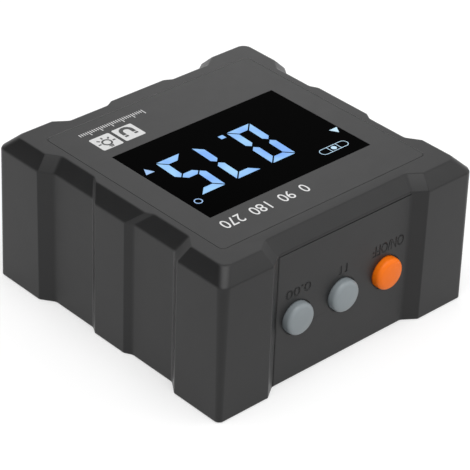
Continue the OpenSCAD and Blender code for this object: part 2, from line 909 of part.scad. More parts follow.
housing();
face_panel();
display_window();
display_cell();
light_guide();
backlight_lamps();
display_frame();
contact_strip(1);  // upper_contact_strip
contact_strip(-1);  // lower_contact_strip
main_board();
processor_chip();
tilt_sensor();
key_switch(button_x[0]);  // power_switch
key_switch(button_x[1]);  // hold_switch
key_switch(button_x[2]);  // zero_switch
switch_stem(button_x[0]);  // power_stem
switch_stem(button_x[1]);  // hold_stem
switch_stem(button_x[2]);  // zero_stem
button_cap(button_x[0], "#ff7a22");  // power_button
button_cap(button_x[1], "#868e92");  // hold_button
button_cap(button_x[2], "#868e92");  // zero_button
back_cover();
battery_door();
battery(-1, -battery_y);  // lower_battery
battery(1, battery_y);  // upper_battery
battery_spring(1, -battery_y);  // lower_spring
battery_spring(-1, battery_y);  // upper_spring
tail_contact(battery_y);  // minus_contact
tail_contact(-battery_y);  // plus_contact
link_contact();
magnet(0, 0);  // right_magnet_1
magnet(0, 1);  // right_magnet_2
magnet(1, 0);  // top_magnet_1
magnet(1, 1);  // top_magnet_2
magnet(2, 0);  // left_magnet_1
magnet(2, 1);  // left_magnet_2
magnet(3, 0);  // base_magnet_1
magnet(3, 1);  // base_magnet_2
case_screws();
board_screws();
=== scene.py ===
import json
import math

import bmesh
import bpy
from mathutils import Matrix, Quaternion, Vector


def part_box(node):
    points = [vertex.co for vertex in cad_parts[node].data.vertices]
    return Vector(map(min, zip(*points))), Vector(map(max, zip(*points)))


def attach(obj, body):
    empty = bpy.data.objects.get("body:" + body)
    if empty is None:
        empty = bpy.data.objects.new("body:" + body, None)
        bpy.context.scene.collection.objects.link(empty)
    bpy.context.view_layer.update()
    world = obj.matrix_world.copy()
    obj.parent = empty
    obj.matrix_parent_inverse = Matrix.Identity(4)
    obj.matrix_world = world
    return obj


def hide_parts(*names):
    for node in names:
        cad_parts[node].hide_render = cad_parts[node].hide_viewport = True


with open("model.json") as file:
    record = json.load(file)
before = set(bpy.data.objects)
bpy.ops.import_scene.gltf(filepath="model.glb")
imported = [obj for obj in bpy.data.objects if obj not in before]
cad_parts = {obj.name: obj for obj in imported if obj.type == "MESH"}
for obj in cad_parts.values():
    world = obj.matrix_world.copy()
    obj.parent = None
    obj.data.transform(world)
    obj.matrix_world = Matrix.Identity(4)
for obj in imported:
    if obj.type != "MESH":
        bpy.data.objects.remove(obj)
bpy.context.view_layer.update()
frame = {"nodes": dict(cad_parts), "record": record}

# Looks of a digital angle gauge that lies on its back, in metres, in the frame of its solids:
# +Z out of the display, +X to the reader's right, +Y to the side with the buttons.
MM = 0.001
scene = bpy.context.scene
solids = frame["nodes"]
bodies = frame["record"]["behaviour"]["bodies"]
body_of_node = {node: body for body, nodes in bodies.items() for node in nodes}

# Heights and planes of the gauge, the button side's recess so many millimetres behind its pads
RECESS_DEPTH = 1.85
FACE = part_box("face_panel")[1].z
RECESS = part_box("housing")[1].y - RECESS_DEPTH * MM
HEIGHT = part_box("housing")[1].z

# Angles in degrees under which neighbouring faces are one flat, and under which they shade as one
FLAT_ANGLE = 0.4
SMOOTH_ANGLE = 32
# How far the larger faces lead the shading, where 50 is even
LARGE_FACE_LEAD = 90
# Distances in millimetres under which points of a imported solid, and of a drawn shape, are one
SOLID_JOIN = 0.0005
SHAPE_JOIN = 0.001
# Steps of each curved stretch of a letter
LETTER_STEPS = 4

# Print on the panel, in millimetres on its face
PRINT_T = 0.012
NUMBERS = "0  90  180  270"
NUMBERS_PLACE = (9.4, 17.85)
NUMBERS_SIZE = (19.8, 2.5)
TILE_SIZE = (4.55, 4.5)
TILE_R = 0.35
MAGNET_TILE = (11.28, -15.95)
LAMP_TILE = (16.52, -15.85)
MAGNET_BEND = (11.28, -16.4)
MAGNET_BEND_STEPS = 16
MAGNET_R = (1.48, 0.7)
MAGNET_ARM = 0.85
MAGNET_TIP = 0.5
MAGNET_TIP_GAP = 0.22
LAMP_BULB = (16.52, -15.6)
LAMP_R = (1.06, 0.7)
LAMP_BASE_T = 0.26
# Rise and width of each bar of the lamp's base
LAMP_BASE = [(1.24, 1.05), (1.6, 0.7)]
LAMP_RAYS = 5
LAMP_RAY = (0.62, 0.34)
LAMP_RAY_START = 1.28
SCALE_PLACE = (4.4, -20.7)
SCALE_TICKS = 30
SCALE_PITCH = 0.5
SCALE_TICK = (0.17, 0.85)
SCALE_LONG_EVERY = 5
SCALE_LONG_SHARE = 1.75

# Reading on the display, in millimetres on its face, with the lit bars of each digit by letter
DIGITS_LIT = ["abcdef", "abc", "acdfg"]
DIGIT_W = 5.6
DIGIT_H = 12.9
DIGIT_PITCH = 8.35
DIGIT_START = (-7.6, -4.6)
DIGIT_SLANT = 0.055
BAR_W = 1.6
BAR_GAP = 0.4
LIT_T = 0.01
POINT_SIZE = (1.1, 1.1)
POINT_PLACE = (-0.48, -4.05)
DEGREE_PLACE = (17.16, 9.43)
DEGREE_R = (0.81, 0.61)
# Middle and width of each trend triangle, and its rise, which is negative where it points down
TREND_MARKS = [((17.5, -3.55), 1.9, -1.77), ((-17.98, 7.16), 1.92, 1.62)]
VIAL_PLACE = (-13.4, 11.3)
VIAL_SIZE = (6.6, 1.9)
VIAL_END_FLAT = 0.02
VIAL_LINE = 0.13
VIAL_MARKS = 1.1
BUBBLE_R = 0.55
BUBBLE_SIDES = 24
# Strength of the display's light, and how far from the middle the marks go on changing their tone
GLOW = 0.95
MARK_TONE_REACH = 18

# Labels sunk into the button side, in millimetres: words, their middle along X and Z, their size
LABEL_DEPTH = 0.1
LABEL_BOLD = 0.02
LABELS = [("ON/OFF", (-11.1, 18.1), (7.7, 2.2)), ("0.00", (10.75, 18.0), (6.0, 1.9))]
HOLD_BARS_PLACE = (0.0, 17.9)
HOLD_BAR = (0.62, 1.75)
HOLD_BARS_PITCH = 1.35
# Relief of the wall round each button, and how far a cut reaches out of the wall
RELIEF_R = 3.42
RELIEF_DEPTH = 0.25
RELIEF_SIDES = 64
CUT_PROUD = 0.4
# Turn that lays a flat shape on the button side: its X along X, its Y down, its Z outwards
SIDE_TURN = Matrix(((1, 0, 0), (0, 0, 1), (0, -1, 0))).to_4x4()

# Seam round the panel: a reach past its edge that takes in the recess's walls, in millimetres,
# and the most that an upright wall's normal rises
SEAM_W = 0.3
UPRIGHT = 0.1

# Bands of a battery cell: where each starts as a share of its length toward the nub, and its colour
CELL_BANDS = [
    (0.0, (0.6, 0.6, 0.6)),
    (0.01, (0.05, 0.05, 0.055)),
    (0.74, (0.55, 0.26, 0.12)),
    (0.97, (0.6, 0.6, 0.6)),
]

# Camera at the photograph's view, its lens and sensor in millimetres
CAMERA_PLACE = Vector((239.549, 252.258, 233.684)) * MM
CAMERA_AIM = Vector((0.822, 1.636, 12.057)) * MM
CAMERA_ROLL = math.radians(2.18)
CAMERA_LENS = 174.27
CAMERA_SENSOR = 36.0
CAMERA_NEAR = 0.01

# Floor: its width and own tone, and how far it is lifted to white where it is seen or mirrored
FLOOR_W = 6.0
FLOOR_TONE = (0.62, 0.62, 0.62)
FLOOR_LIFT = 0.42
# World: the level of its light, and the white that is seen or mirrored
WORLD_LIGHT = 0.7
WORLD_SEEN = 1.0
# Soft boxes, named as the camera sees them: direction from the gauge, distance and width in metres, watts
SOFT_BOXES = [
    ("key_light", (0.15, 0.25, 1.0), 0.8, 0.6, 3.2),
    ("rear_light", (-0.625, -0.653, 0.427), 0.176, 0.08, 0.0095),
    ("right_light", (-0.58, 0.54, 0.61), 0.5, 0.25, 0.16),
]
# Dark card at the camera's left
CARD_PLACE = (0.255, -0.289, 0.345)
CARD_FACING = (-0.255, 0.289, -0.33)
CARD_SIZE = (0.7, 0.42)
CARD_TONE = (0.02, 0.02, 0.02)

# Scales of a pattern: the same on all axes, and in millimetres
EVEN = (1.0, 1.0, 1.0)
PER_MM = (1.0 / MM, 1.0 / MM, 1.0 / MM)


def add_node(tree, kind, **values):
    """A new node in a tree, with its own settings."""
    made = tree.nodes.new(kind)
    for key, value in values.items():
        setattr(made, key, value)
    return made


# Node trees of materials

class Shader:
    """A material's node tree with one Principled shader, and short calls for its nodes."""

    def __init__(self, name, colour, roughness, metallic=0.0, specular=0.5):
        self.material = bpy.data.materials.new(name)
        self.material.use_nodes = True
        self.tree = self.material.node_tree
        self.tree.nodes.clear()
        self.bsdf = self.node("ShaderNodeBsdfPrincipled")
        self.link(self.bsdf, "BSDF", self.node("ShaderNodeOutputMaterial"), "Surface")
        self.colour = colour
        self.set("Base Color", (*colour, 1.0))
        self.set("Roughness", roughness)
        self.set("Metallic", metallic)
        self.set("Specular IOR Level", specular)
        self.place = self.node("ShaderNodeTexCoord")

    def node(self, kind, **values):
        return add_node(self.tree, kind, **values)

    def link(self, a, output, b, socket):
        self.tree.links.new(a.outputs[output], b.inputs[socket])

    def set(self, socket, value):
        self.bsdf.inputs[socket].default_value = value

    def scaled_place(self, scale):
        """Object coordinates, multiplied by a number on each axis."""
        made = self.node("ShaderNodeMapping")
        made.inputs["Scale"].default_value = scale
        self.link(self.place, "Object", made, "Vector")
        return made

    def noise(self, size, detail=2.0, scale=EVEN):
        """Noise whose features are about that size in millimetres, and longer where the scale is small."""
        made = self.node("ShaderNodeTexNoise")
        made.inputs["Scale"].default_value = 1.0 / (size * MM)
        made.inputs["Detail"].default_value = detail
        self.link(self.scaled_place(scale), "Vector", made, "Vector")
        return made

    def spread(self, source, output, low, high, start=0.3, end=0.7):
        """A factor from start to end, by default the usual reach of noise, mapped to low and high."""
        made = self.node("ShaderNodeMapRange")
        for socket, value in (("From Min", start), ("From Max", end), ("To Min", low), ("To Max", high)):
            made.inputs[socket].default_value = value
        self.link(source, output, made, "Value")
        return made

    def along_x(self, start, end):
        """A factor that goes from 0 to 1 as x goes from start to end."""
        split = self.node("ShaderNodeSeparateXYZ")
        self.link(self.place, "Object", split, "Vector")
        return self.spread(split, "X", 0.0, 1.0, start, end)

    def two_tone(self, source, output, first, second, socket="Base Color"):
        """A colour of the shader goes from first to second with a factor."""
        made = self.node("ShaderNodeMix", data_type="RGBA")
        made.inputs["A"].default_value = (*first, 1.0)
        made.inputs["B"].default_value = (*second, 1.0)
        self.link(source, output, made, "Factor")
        self.link(made, "Result", self.bsdf, socket)

    def glow(self, factor, first, second):
        """Light of its own, from first to second with a mapped factor."""
        self.two_tone(factor, "Result", first, second, "Emission Color")
        self.set("Emission Strength", GLOW)

    def drift(self, size, share):
        """Slow change of the colour by that share either way."""
        factor = self.spread(self.noise(size), "Fac", 0.0, 1.0)
        shades = [tuple(min(1.0, c * (1 + s * share)) for c in self.colour) for s in (-1, 1)]
        self.two_tone(factor, "Result", *shades)

    def gloss_drift(self, size, low, high):
        """Slow change of the roughness between two values."""
        factor = self.spread(self.noise(size), "Fac", low, high)
        self.link(factor, "Result", self.bsdf, "Roughness")

    def bump(self, source, depth, strength):
        """Relief from a pattern's factor, its depth in millimetres."""
        made = self.node("ShaderNodeBump")
        made.inputs["Strength"].default_value = strength
        made.inputs["Distance"].default_value = depth * MM
        self.link(source, "Fac", made, "Height")
        self.link(made, "Normal", self.bsdf, "Normal")


def moulded_plastic(name, colour, roughness, grain=0.16, depth=0.006, specular=0.5):
    """Plastic from a finely sparked mould, with a slow drift of its colour and gloss."""
    shader = Shader(name, colour, roughness, specular=specular)
    shader.drift(size=9.0, share=0.04)
    shader.gloss_drift(size=3.0, low=roughness - 0.015, high=roughness + 0.015)
    shader.bump(shader.noise(grain, detail=3.0), depth, strength=0.6)
    return shader.material


def printed_ink(name, colour):
    """Opaque screen print with a slightly uneven film."""
    shader = Shader(name, colour, roughness=0.5)
    shader.drift(size=0.6, share=0.04)
    shader.bump(shader.noise(size=0.1), depth=0.002, strength=0.4)
    return shader.material


def display_layer(name):
    """Dark layer of the display, which its own light shows."""
    return Shader(name, (0.02, 0.03, 0.05), roughness=0.6, specular=0.1)


def lit_segment():
    """Lit bars of the display: pale blue that shades from bar to bar."""
    shader = display_layer("lit_segment")
    factor = shader.spread(shader.noise(size=4.0, detail=1.0), "Fac", 0.0, 1.0)
    shader.glow(factor, (0.225, 0.455, 0.95), (0.37, 0.67, 0.96))
    return shader.material


def lit_mark():
    """Small lit marks, paler towards the display's left edge."""
    shader = display_layer("lit_mark")
    factor = shader.along_x(-MARK_TONE_REACH * MM, MARK_TONE_REACH * MM)
    shader.glow(factor, (0.61, 0.84, 0.97), (0.36, 0.56, 0.88))
    return shader.material


def display_black():
    """Black pane with a coating that holds its reflections down."""
    shader = Shader("display_black", (0.0008, 0.0008, 0.0008), roughness=0.12, specular=0.002)
    shader.gloss_drift(size=5.0, low=0.1, high=0.16)
    return shader.material


def satin_metal(name, colour, roughness, scale=EVEN):
    """Metal with a fine grain, drawn into lines along an axis where the scale is small."""
    shader = Shader(name, colour, roughness, metallic=1.0)
    shader.bump(shader.noise(size=0.12, scale=scale), depth=0.002, strength=0.5)
    shader.drift(size=3.0, share=0.06)
    shader.gloss_drift(size=1.2, low=roughness - 0.06, high=roughness + 0.08)
    return shader.material


def board_green():
    """Solder mask over a net of copper tracks."""
    shader = Shader("board_green", (0.014, 0.11, 0.045), roughness=0.35)
    tracks = shader.node("ShaderNodeTexBrick", offset=0.5)
    tracks.inputs["Scale"].default_value = 0.45
    tracks.inputs["Mortar Size"].default_value = 0.05
    shader.link(shader.scaled_place(PER_MM), "Vector", tracks, "Vector")
    shader.two_tone(tracks, "Fac", (0.012, 0.1, 0.04), (0.03, 0.19, 0.08))
    shader.bump(tracks, depth=0.03, strength=0.4)
    return shader.material


def cell_sleeve(node, nub_side):
    """Battery cell with steel ends and a shrunk sleeve: dark, with a copper band toward its nub."""
    shader = Shader(f"{node}_sleeve", (0.06, 0.06, 0.065), roughness=0.3, metallic=0.6)
    ends = [corner.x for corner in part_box(node)][::nub_side]
    bands = shader.node("ShaderNodeValToRGB")
    bands.color_ramp.interpolation = "CONSTANT"
    for start, colour in CELL_BANDS[2:]:
        bands.color_ramp.elements.new(start)
    for element, (start, colour) in zip(bands.color_ramp.elements, CELL_BANDS):
        element.position = start
        element.color = (*colour, 1.0)
    shader.link(shader.along_x(*ends), "Result", bands, "Fac")
    shader.link(bands, "Color", shader.bsdf, "Base Color")
    shader.bump(shader.noise(size=0.3), depth=0.004, strength=0.3)
    return shader.material


def rubber_strip():
    """Elastic strip of thin carbon and rubber layers."""
    rubber = (0.55, 0.36, 0.38)
    shader = Shader("strip_rubber", rubber, roughness=0.7)
    layers = shader.node("ShaderNodeTexWave", bands_direction="X")
    layers.inputs["Scale"].default_value = 1.5
    shader.link(shader.scaled_place(PER_MM), "Vector", layers, "Vector")
    shader.two_tone(layers, "Fac", (0.03, 0.03, 0.03), rubber)
    return shader.material


MATERIALS = {
    "housing": moulded_plastic("housing_plastic", (0.0145, 0.0145, 0.0148), 0.38, specular=0.3),
    "panel": moulded_plastic("panel_film", (0.0145, 0.0145, 0.0148), 0.44,
                             grain=0.12, depth=0.004, specular=0.38),
    "cover": moulded_plastic("cover_plastic", (0.016, 0.016, 0.0163), 0.45, grain=0.2, depth=0.008),
    "grey_key": moulded_plastic("button_grey", (0.235, 0.265, 0.28), 0.42, grain=0.12, depth=0.003),
    "orange_key": moulded_plastic("button_orange", (1.0, 0.19, 0.005), 0.4,
                                  grain=0.12, depth=0.003, specular=0.22),
    "label": moulded_plastic("label_floor", (0.0135, 0.0135, 0.0138), 0.45, grain=0.1, specular=0.3),
    # Pale grey on the panel seam's walls is painted light that lifts the shade in the narrow gap
    "seam": moulded_plastic("seam_painted_light", (0.24, 0.24, 0.24), 0.6, specular=0.2),
    "frame": moulded_plastic("frame_plastic", (0.7, 0.7, 0.68), 0.5),
    "stem": moulded_plastic("stem_plastic", (0.68, 0.65, 0.58), 0.45),
    "chip": moulded_plastic("chip_black", (0.012, 0.012, 0.013), 0.55, grain=0.08),
    "guide": moulded_plastic("guide_plastic", (0.8, 0.85, 0.9), 0.2, depth=0.002),
    "lamp": moulded_plastic("lamp_plastic", (0.9, 0.88, 0.7), 0.25),
    "glass": moulded_plastic("cell_glass", (0.01, 0.012, 0.015), 0.08, depth=0.0005),
    "white_print": printed_ink("white_print", (0.66, 0.66, 0.66)),
    "tile_print": printed_ink("tile_print", (0.6, 0.6, 0.6)),
    "dark_print": printed_ink("dark_print", (0.03, 0.03, 0.03)),
    "lit": lit_segment(),
    "lit_mark": lit_mark(),
    "pane": display_black(),
    "board": board_green(),
    "strip": rubber_strip(),
    "lower_cell": cell_sleeve("lower_battery", -1),
    "upper_cell": cell_sleeve("upper_battery", 1),
    "contact": satin_metal("contact_steel", (0.6, 0.58, 0.52), 0.3, (1.0, 1.0, 0.1)),
    "magnet": satin_metal("magnet_nickel", (0.62, 0.61, 0.59), 0.16),
    "screw": satin_metal("screw_steel", (0.3, 0.31, 0.32), 0.32, (1.0, 1.0, 0.2)),
}

# Finishes of the buttons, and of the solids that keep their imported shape
KEYS = {"power": "orange_key", "hold": "grey_key", "zero": "grey_key"}
FINISHES = {
    "panel": ["face_panel"],
    "pane": ["display_window"],
    "glass": ["display_cell"],
    "guide": ["light_guide"],
    "lamp": ["backlight_lamps"],
    "frame": ["display_frame"],
    "strip": ["upper_contact_strip", "lower_contact_strip"],
    "board": ["main_board"],
    "chip": ["processor_chip", "tilt_sensor", "power_switch", "hold_switch", "zero_switch"],
    "stem": ["power_stem", "hold_stem", "zero_stem"],
    "cover": ["back_cover", "battery_door"],
    "lower_cell": ["lower_battery"],
    "upper_cell": ["upper_battery"],
    "contact": ["lower_spring", "upper_spring", "minus_contact", "plus_contact", "link_contact"],
    "magnet": [f"{side}_magnet_{i}" for side in ("right", "top", "left", "base") for i in (1, 2)],
    "screw": ["case_screws", "board_screws"],
}


# Making and finishing pieces

def plain_mesh(obj):
    """The object with its evaluated shape as its own plain mesh, and no modifier left."""
    depsgraph = bpy.context.evaluated_depsgraph_get()
    shape = bpy.data.meshes.new_from_object(obj.evaluated_get(depsgraph))
    obj.modifiers.clear()
    old = obj.data
    obj.data = shape
    bpy.data.meshes.remove(old)
    return obj


def new_object(name, data):
    obj = bpy.data.objects.new(name, data)
    scene.collection.objects.link(obj)
    return obj


def mesh_from(name, bm):
    mesh = bpy.data.meshes.new(name)
    bm.to_mesh(mesh)
    bm.free()
    return mesh


def add_piece(obj, body, slot, *replaced):
    """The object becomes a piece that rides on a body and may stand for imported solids."""
    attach(obj, body)
    if replaced:
        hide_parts(*replaced)


def slot_of(node):
    """The record's slot of a solid, from the material that it was packed with."""
    return solids[node].data.materials[0].name.split(".")[0]


def even_normals(obj):
    """Smooth shading between the sharp edges, led by the larger faces."""
    obj.data.shade_smooth()
    obj.data.set_sharp_from_angle(angle=math.radians(SMOOTH_ANGLE))
    weighted = obj.modifiers.new("even", "WEIGHTED_NORMAL")
    weighted.keep_sharp = True
    weighted.weight = LARGE_FACE_LEAD
    return plain_mesh(obj)


def merged_copy(node, name, material):
    """A solid's own mesh with its loose triangles joined into whole flats."""
    bm = bmesh.new()
    bm.from_mesh(solids[node].data)
    bmesh.ops.remove_doubles(bm, verts=bm.verts, dist=SOLID_JOIN * MM)
    flat = math.radians(FLAT_ANGLE)
    bmesh.ops.dissolve_limit(bm, angle_limit=flat, verts=bm.verts, edges=bm.edges)
    for face in bm.faces:
        face.material_index = 0
    obj = new_object(name, mesh_from(name, bm))
    obj.data.materials.clear()
    obj.data.materials.append(MATERIALS[material])
    return obj


def smooth_copy(node, name, material):
    """A round solid with even shading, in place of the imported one."""
    obj = even_normals(merged_copy(node, name, material))
    add_piece(obj, body_of_node[node], slot_of(node), node)


def finish_solid(node, material):
    """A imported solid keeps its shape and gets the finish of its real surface."""
    solids[node].data.materials.clear()
    solids[node].data.materials.append(MATERIALS[material])


def flat_shape(name, polygons, depth):
    """Plates of that depth on z = 0 from outlines, in millimetres."""
    bm = bmesh.new()
    for polygon in polygons:
        bm.faces.new([bm.verts.new((x * MM, y * MM, 0.0)) for x, y in polygon])
    bmesh.ops.remove_doubles(bm, verts=bm.verts, dist=SHAPE_JOIN * MM)
    raised = bmesh.ops.extrude_face_region(bm, geom=bm.faces[:])["geom"]
    tops = [part for part in raised if isinstance(part, bmesh.types.BMVert)]
    bmesh.ops.translate(bm, vec=(0, 0, depth * MM), verts=tops)
    bmesh.ops.recalc_face_normals(bm, faces=bm.faces)
    return mesh_from(name, bm)


def arc(centre, r, start, end, steps):
    """Points on an arc, angles in degrees."""
    turns = [math.radians(start + (end - start) * i / steps) for i in range(steps + 1)]
    return [(centre[0] + r * math.cos(a), centre[1] + r * math.sin(a)) for a in turns]


def circle(centre, r, sides):
    return arc(centre, r, 0, 360, sides)[:-1]


def band(outer, inner, closed=False):
    """Quads between two lines of as many points."""
    count = len(outer) if closed else len(outer) - 1
    following = [(i, (i + 1) % len(outer)) for i in range(count)]
    return [[outer[a], outer[b], inner[b], inner[a]] for a, b in following]


def ring(centre, r_out, r_in, sides=32):
    return band(circle(centre, r_out, sides), circle(centre, r_in, sides), closed=True)


def rectangle(centre, size):
    x, y = centre
    w, h = size[0] / 2, size[1] / 2
    return [(x - w, y - h), (x + w, y - h), (x + w, y + h), (x - w, y + h)]


def round_rectangle(centre, size, r, steps=6):
    x, y = centre
    w, h = size[0] / 2 - r, size[1] / 2 - r
    corners = [(w, h, 0), (-w, h, 90), (-w, -h, 180), (w, -h, 270)]
    return [p for cx, cy, a in corners for p in arc((x + cx, y + cy), r, a, a + 90, steps)]


def lettering(text, size, depth, bold=0.0):
    """Mesh of a line of characters of that width and height, with its middle at the origin."""
    curve = bpy.data.curves.new(text, "FONT")
    curve.body = text
    curve.offset = bold
    # Half of a depth of 1, which the scale below sets
    curve.extrude = 0.5
    curve.resolution_u = LETTER_STEPS
    maker = new_object("maker", curve)
    bpy.context.view_layer.update()
    mesh = bpy.data.meshes.new_from_object(maker)
    bpy.data.objects.remove(maker)
    bpy.data.curves.remove(curve)
    low = Vector([min(v.co[i] for v in mesh.vertices) for i in range(3)])
    high = Vector([max(v.co[i] for v in mesh.vertices) for i in range(3)])
    scale = (size[0] * MM / (high.x - low.x), size[1] * MM / (high.y - low.y), depth * MM)
    mesh.transform(Matrix.Diagonal((*scale, 1.0)) @ Matrix.Translation(-(low + high) / 2))
    bm = bmesh.new()
    bm.from_mesh(mesh)
    bmesh.ops.remove_doubles(bm, verts=bm.verts, dist=SHAPE_JOIN * MM)
    bpy.data.meshes.remove(mesh)
    return mesh_from(text, bm)


def lay_on_face(mesh, place, lift=0.0):
    """Move a flat mesh to a place on the display face, and off it by a lift, in millimetres."""
    mesh.transform(Matrix.Translation((place[0] * MM, place[1] * MM, FACE + lift * MM)))


def add_on_face(name, mesh, material, slot, place=(0.0, 0.0), lift=0.0):
    """A piece printed or lit on the display face."""
    lay_on_face(mesh, place, lift)
    obj = new_object(name, mesh)
    obj.data.materials.append(MATERIALS[material])
    add_piece(obj, "root", slot)


# Geometry Nodes

class NodeShape:
    """A geometry tree with named inputs, run on an object and turned into a plain mesh."""

    def __init__(self, name, inputs):
        self.tree = bpy.data.node_groups.new(name, "GeometryNodeTree")
        face = self.tree.interface
        face.new_socket("Geometry", in_out="OUTPUT", socket_type="NodeSocketGeometry")
        self.sockets = {}
        for label, kind in {"Geometry": "Geometry", **inputs, "Material": "Material"}.items():
            self.sockets[label] = face.new_socket(label, in_out="INPUT", socket_type=f"NodeSocket{kind}")
        self.given = self.node("NodeGroupInput")
        self.out = self.node("NodeGroupOutput")

    def node(self, kind, **values):
        return add_node(self.tree, kind, **values)

    def link(self, output, socket):
        self.tree.links.new(output, socket)

    def input(self, label):
        return self.given.outputs[label]

    def feed(self, sockets, terms):
        """Link sockets to outputs, or set them to numbers."""
        for socket, term in zip(sockets, terms):
            if isinstance(term, bpy.types.NodeSocket):
                self.link(term, socket)
            else:
                socket.default_value = term

    def math(self, operation, *terms):
        """Output of a math node whose terms are outputs or numbers."""
        made = self.node("ShaderNodeMath", operation=operation)
        self.feed(made.inputs, terms)
        return made.outputs[0]

    def half(self, label):
        return self.math("MULTIPLY", self.input(label), 0.5)

    def vector(self, x, y, z):
        made = self.node("ShaderNodeCombineXYZ")
        self.feed(made.inputs, (x, y, z))
        return made.outputs[0]

    def index(self):
        return self.node("GeometryNodeInputIndex").outputs["Index"]

    def position(self):
        """Outputs of each point's x, y and z."""
        split = self.node("ShaderNodeSeparateXYZ")
        self.link(self.node("GeometryNodeInputPosition").outputs["Position"], split.inputs["Vector"])
        return tuple(split.outputs)

    def box(self, x, y, z, rows=2):
        made = self.node("GeometryNodeMeshCube")
        self.link(self.vector(x, y, z), made.inputs["Size"])
        made.inputs["Vertices Y"].default_value = rows
        return made.outputs["Mesh"]

    def moved(self, geometry, x, y, z):
        made = self.node("GeometryNodeTransform")
        self.link(geometry, made.inputs["Geometry"])
        self.link(self.vector(x, y, z), made.inputs["Translation"])
        return made.outputs["Geometry"]

    def reshaped(self, geometry, x, y, z):
        """The geometry with each point at a new place."""
        made = self.node("GeometryNodeSetPosition")
        self.link(geometry, made.inputs["Geometry"])
        self.link(self.vector(x, y, z), made.inputs["Position"])
        return made.outputs["Geometry"]

    def copies(self, points, shape, turn=None, scale=None):
        """The shape at each point, turned about Z and scaled."""
        made = self.node("GeometryNodeInstanceOnPoints")
        self.link(points, made.inputs["Points"])
        self.link(shape, made.inputs["Instance"])
        if turn is not None:
            self.link(self.vector(0.0, 0.0, turn), made.inputs["Rotation"])
        if scale is not None:
            self.link(scale, made.inputs["Scale"])
        return made.outputs["Instances"]

    def end(self, geometry, after=None):
        """Instances become real and get the material; after may bend them first."""
        real = self.node("GeometryNodeRealizeInstances")
        self.link(geometry, real.inputs["Geometry"])
        shape = after(real.outputs["Geometry"]) if after else real.outputs["Geometry"]
        finish = self.node("GeometryNodeSetMaterial")
        self.link(shape, finish.inputs["Geometry"])
        self.link(self.input("Material"), finish.inputs["Material"])
        self.link(finish.outputs["Geometry"], self.out.inputs["Geometry"])

    def run(self, name, mesh, **values):
        """What the tree makes of a mesh, with inputs by their label and _ for a space."""
        obj = new_object(name, mesh)
        modifier = obj.modifiers.new("shape", "NODES")
        modifier.node_group = self.tree
        for label, value in values.items():
            modifier[self.sockets[label.replace("_", " ").capitalize()].identifier] = value
        return plain_mesh(obj)


def tick_row_tree():
    """A row of ticks along X on a common base line, with one longer in every so many."""
    kinds = {"Ticks": "Int", "Pitch": "Float", "Tick width": "Float", "Tick height": "Float",
             "Long every": "Int", "Long share": "Float", "Depth": "Float"}
    shape = NodeShape("tick_row", kinds)
    line = shape.node("GeometryNodeMeshLine")
    shape.link(shape.input("Ticks"), line.inputs["Count"])
    shape.link(shape.vector(shape.input("Pitch"), 0.0, 0.0), line.inputs["Offset"])
    tick = shape.box(shape.input("Tick width"), shape.input("Tick height"), shape.input("Depth"))
    tick = shape.moved(tick, 0.0, shape.half("Tick height"), shape.half("Depth"))
    is_long = shape.math("LESS_THAN", shape.math("MODULO", shape.index(), shape.input("Long every")), 0.5)
    extra = shape.math("SUBTRACT", shape.input("Long share"), 1.0)
    stretch = shape.math("MULTIPLY_ADD", is_long, extra, 1.0)
    shape.end(shape.copies(line.outputs["Mesh"], tick, scale=shape.vector(1.0, stretch, 1.0)))
    return shape


def ray_fan_tree():
    """Rays round a middle point, from a first angle on by equal steps."""
    kinds = {"Rays": "Int", "First": "Float", "Step": "Float", "Radius": "Float",
             "Ray length": "Float", "Ray width": "Float", "Depth": "Float"}
    shape = NodeShape("ray_fan", kinds)
    points = shape.node("GeometryNodePoints")
    shape.link(shape.input("Rays"), points.inputs["Count"])
    ray = shape.box(shape.input("Ray length"), shape.input("Ray width"), shape.input("Depth"))
    middle = shape.math("ADD", shape.half("Ray length"), shape.input("Radius"))
    ray = shape.moved(ray, middle, 0.0, shape.half("Depth"))
    turn = shape.math("MULTIPLY_ADD", shape.index(), shape.input("Step"), shape.input("First"))
    shape.end(shape.copies(points.outputs["Points"], ray, turn=turn))
    return shape


def display_bar_tree():
    """Bars of a seven bar digit at the points given, each turned by its own angle.

    A bar lies along X with its outer side at +Y. An end is mitred to meet the next bar at a
    corner, or pointed where three bars meet. The whole row leans by the slant.
    """
    kinds = {"Length": "Float", "Width": "Float", "Gap": "Float", "Depth": "Float", "Slant": "Float",
             "Left pointed": "Bool", "Right pointed": "Bool"}
    shape = NodeShape("display_bar", kinds)
    length = shape.math("SUBTRACT", shape.input("Length"), shape.input("Gap"))
    bar = shape.box(length, shape.input("Width"), shape.input("Depth"), rows=3)
    x, y, z = shape.position()
    mitred = shape.math("SUBTRACT", shape.half("Width"), y)
    pointed = shape.math("ABSOLUTE", y)
    is_right = shape.math("GREATER_THAN", x, 0.0)
    right = shape.math("MULTIPLY", is_right, shape.input("Right pointed"))
    left = shape.math("MULTIPLY", shape.math("SUBTRACT", 1.0, is_right), shape.input("Left pointed"))
    is_pointed = shape.math("ADD", left, right)
    cut = shape.math("MULTIPLY_ADD", is_pointed, shape.math("SUBTRACT", pointed, mitred), mitred)
    new_x = shape.math("SUBTRACT", x, shape.math("MULTIPLY", cut, shape.math("SIGN", x)))
    bar = shape.moved(shape.reshaped(bar, new_x, y, z), 0.0, 0.0, shape.half("Depth"))
    turn = shape.node("GeometryNodeInputNamedAttribute", data_type="FLOAT")
    turn.inputs["Name"].default_value = "turn"

    def lean(geometry):
        x, y, z = shape.position()
        return shape.reshaped(geometry, shape.math("MULTIPLY_ADD", y, shape.input("Slant"), x), y, z)

    shape.end(shape.copies(shape.input("Geometry"), bar, turn=turn.outputs["Attribute"]), lean)
    return shape


# Housing with its sunk labels and the reliefs round its buttons

